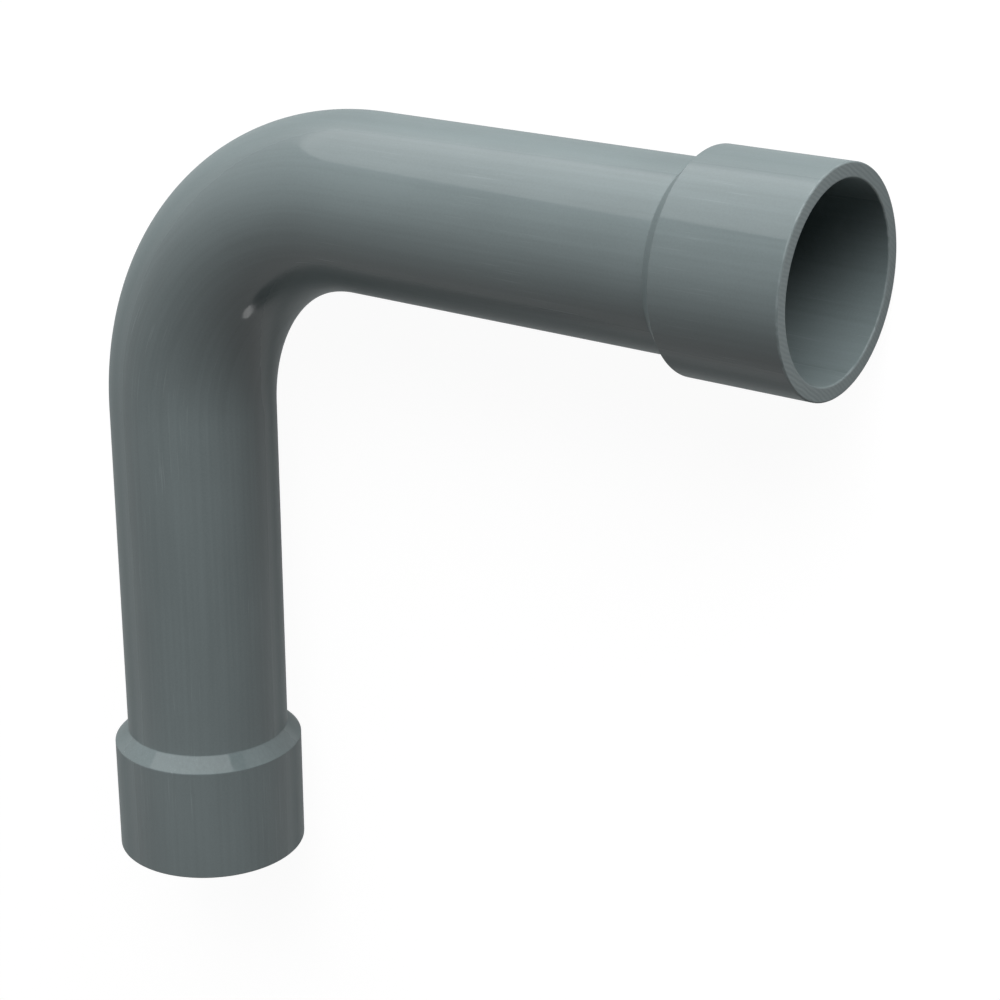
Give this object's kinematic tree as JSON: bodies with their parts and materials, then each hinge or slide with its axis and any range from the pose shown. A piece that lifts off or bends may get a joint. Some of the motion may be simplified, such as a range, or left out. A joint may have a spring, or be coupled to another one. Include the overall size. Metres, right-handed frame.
{
  "type": "conduit elbow",
  "caption": "Quarter-turn elbow for rigid plastic conduit, with a smooth tight bend and a belled socket on each leg.",
  "frame": {"origin": "centre of the mouth of socket A, on that leg's axis", "axes": "+Y up leg A from its mouth; the bend turns towards +X, and leg B's mouth faces +X; +Z normal to the plane of the bend, upwards, with the elbow lying flat on its bells"},
  "size_m": [0.2069, 0.2069, 0.0492],
  "materials": {
    "grey_pvc": "extruded rigid PVC, satin"
  },
  "bodies": {
    "root": {"elbow": "grey_pvc"}
  },
  "joints": []
}
